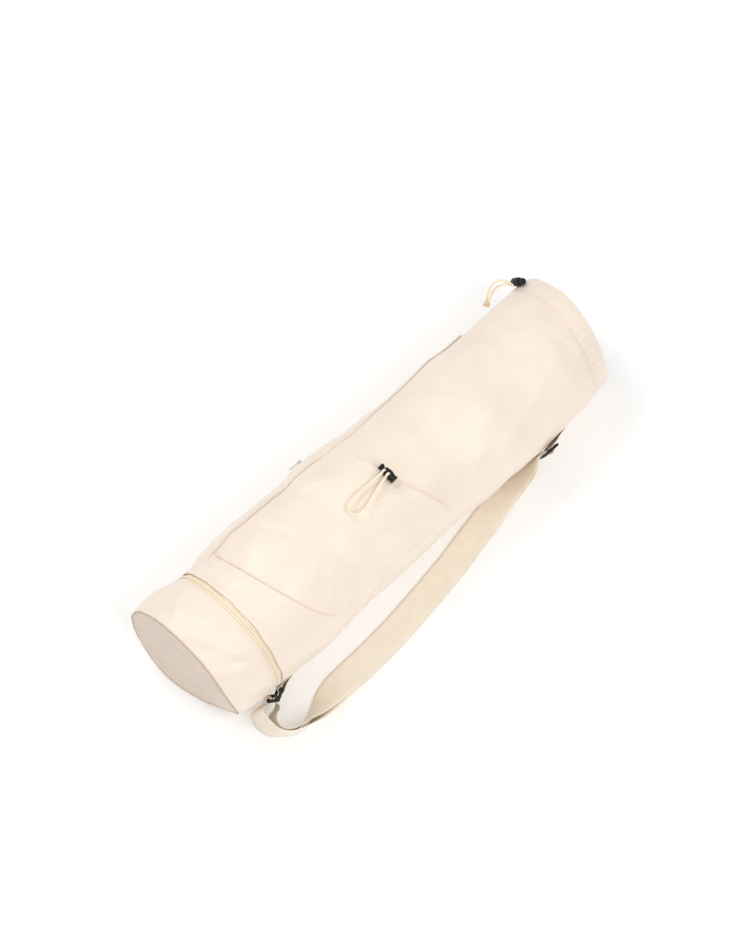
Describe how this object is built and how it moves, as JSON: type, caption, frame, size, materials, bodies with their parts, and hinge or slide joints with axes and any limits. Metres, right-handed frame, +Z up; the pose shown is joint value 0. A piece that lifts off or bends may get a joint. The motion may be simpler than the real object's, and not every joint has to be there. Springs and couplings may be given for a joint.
{
  "type": "yoga mat bag",
  "caption": "Soft tubular mat bag lying on its side, with a zipped base cup, gathered front pocket, long side zip, drawstring mouth and webbing shoulder strap.",
  "frame": {"origin": "on the floor under the resting bag, halfway along the cloth tube", "axes": "+X along the bag from the base panel to the mouth, +Z up, the shoulder strap on the -Y side"},
  "size_m": [0.68, 0.2487, 0.1966],
  "materials": {
    "shell_fabric": "smooth, faintly sheeny woven nylon, cream",
    "base_fabric": "matt woven cloth, darker beige",
    "zip_cloth": "matt woven tape with a moulded coil, cream",
    "webbing": "matt ribbed webbing, pale cream yellow",
    "cord": "matt braided cord, pale cream yellow",
    "black_plastic": "satin moulded plastic, black",
    "silver_metal": "plated zip metal"
  },
  "bodies": {
    "bag": {"body_tube": "shell_fabric", "shoe_cup": "shell_fabric", "base_panel": "base_fabric", "shoe_zip_tape": "zip_cloth", "shoe_zip_coil": "zip_cloth", "shoe_zip_slider": "silver_metal", "side_zip_tape": "zip_cloth", "side_zip_coil": "zip_cloth", "side_zip_slider": "silver_metal", "side_placket": "shell_fabric", "mouth_hem": "shell_fabric", "front_pocket": "shell_fabric", "pocket_cord_lock": "black_plastic", "mouth_cord_lock": "black_plastic", "pocket_cord": "cord", "mouth_cord_outer": "cord", "mouth_cord_inner": "cord", "mouth_cord_knot": "cord", "strap": "webbing", "strap_slider": "black_plastic", "strap_ring": "black_plastic", "ring_tab": "webbing"},
    "zip_pull": {"side_zip_pull": "silver_metal"},
    "pocket_button": {"pocket_lock_button": "black_plastic"},
    "mouth_button": {"mouth_lock_button": "black_plastic"}
  },
  "joints": [
    {"name": "side_zip_pull_swing", "type": "hinge", "parent": "bag", "child": "zip_pull", "pos_m": [-0.0485, 0.09195, 0.10869], "axis": [0, 0.1908, -0.9816], "range_deg": [0, 150]},
    {"name": "pocket_lock_press", "type": "slide", "parent": "bag", "child": "pocket_button", "axis": [0, -0.9816, -0.1908], "range_m": [0, 0.0025], "stiffness_N_per_m": 800, "springref_m": -0.002},
    {"name": "mouth_lock_press", "type": "slide", "parent": "bag", "child": "mouth_button", "axis": [0, 0.5878, -0.809], "range_m": [0, 0.0025], "stiffness_N_per_m": 800, "springref_m": -0.002}
  ]
}
